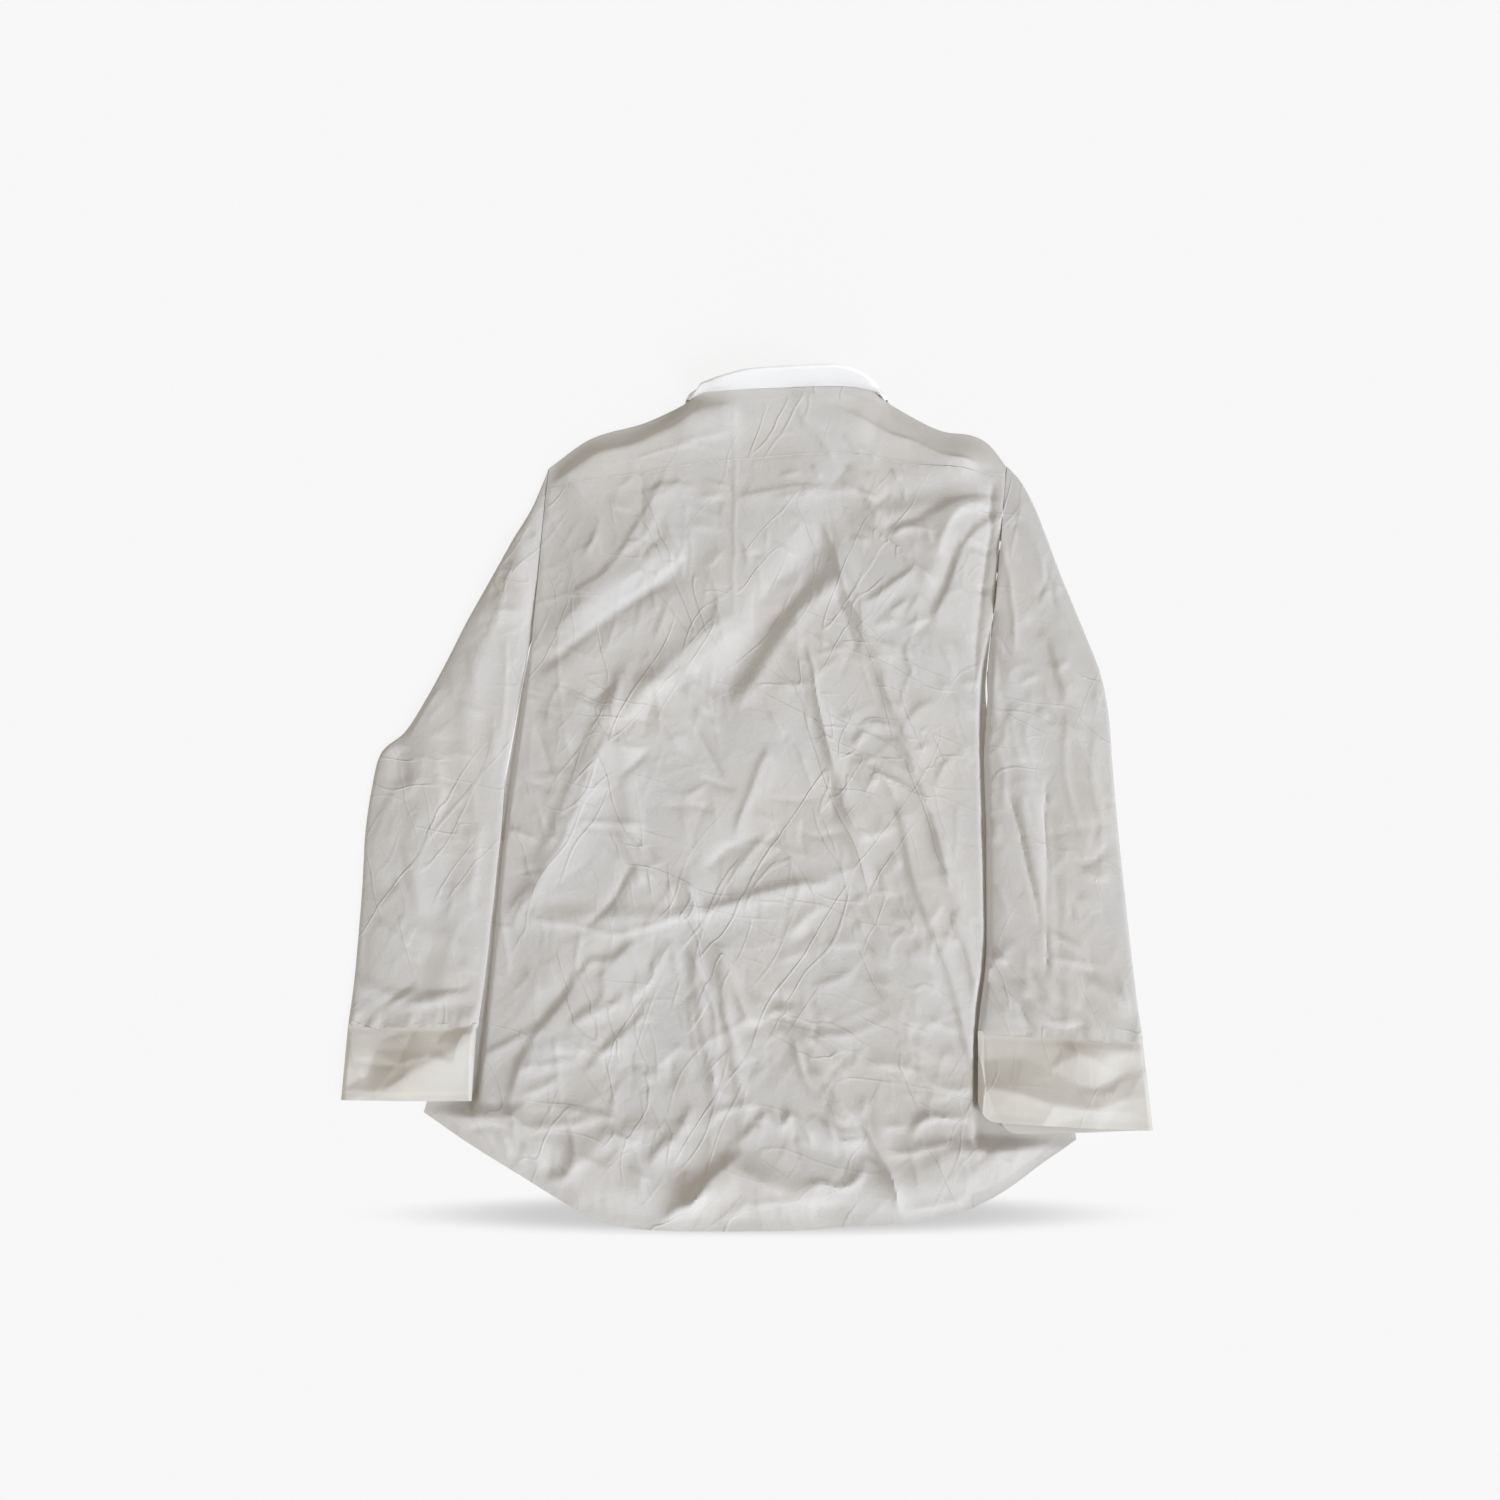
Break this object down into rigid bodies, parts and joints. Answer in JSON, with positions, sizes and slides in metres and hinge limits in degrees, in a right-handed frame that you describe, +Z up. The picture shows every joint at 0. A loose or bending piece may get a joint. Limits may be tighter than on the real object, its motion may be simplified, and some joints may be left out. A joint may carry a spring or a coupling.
{
  "type": "dress shirt",
  "caption": "Man's long-sleeved dress shirt of thin cotton, crumpled and laid out face down, sleeves along its sides, collar standing at the back neck, one cuff closed and one open.",
  "frame": {"origin": "on the surface that the shirt lies on, under the middle of its bounding box", "axes": "+Z up, out of the uppermost panel, which is the back; +Y towards the collar; +X towards the wearer's right sleeve"},
  "size_m": [0.7024, 0.8086, 0.0492],
  "materials": {
    "cotton": "crumpled off-white cotton poplin",
    "interlined_cotton": "off-white cotton with interlining, a little smoother",
    "button_resin": "pearly off-white resin"
  },
  "bodies": {
    "root": {"back": "cotton", "yoke": "cotton", "placket": "interlined_cotton", "front_left": "cotton", "front_right": "cotton", "sleeve_left": "cotton", "sleeve_right": "cotton", "cuff_left": "interlined_cotton", "cuff_right": "interlined_cotton", "collar_fall": "interlined_cotton", "collar_stand": "interlined_cotton", "button_1": "button_resin", "button_2": "button_resin", "button_3": "button_resin", "button_4": "button_resin", "button_5": "button_resin", "button_6": "button_resin", "button_collar": "button_resin", "button_cuff_left": "button_resin", "button_cuff_right": "button_resin"}
  },
  "joints": []
}
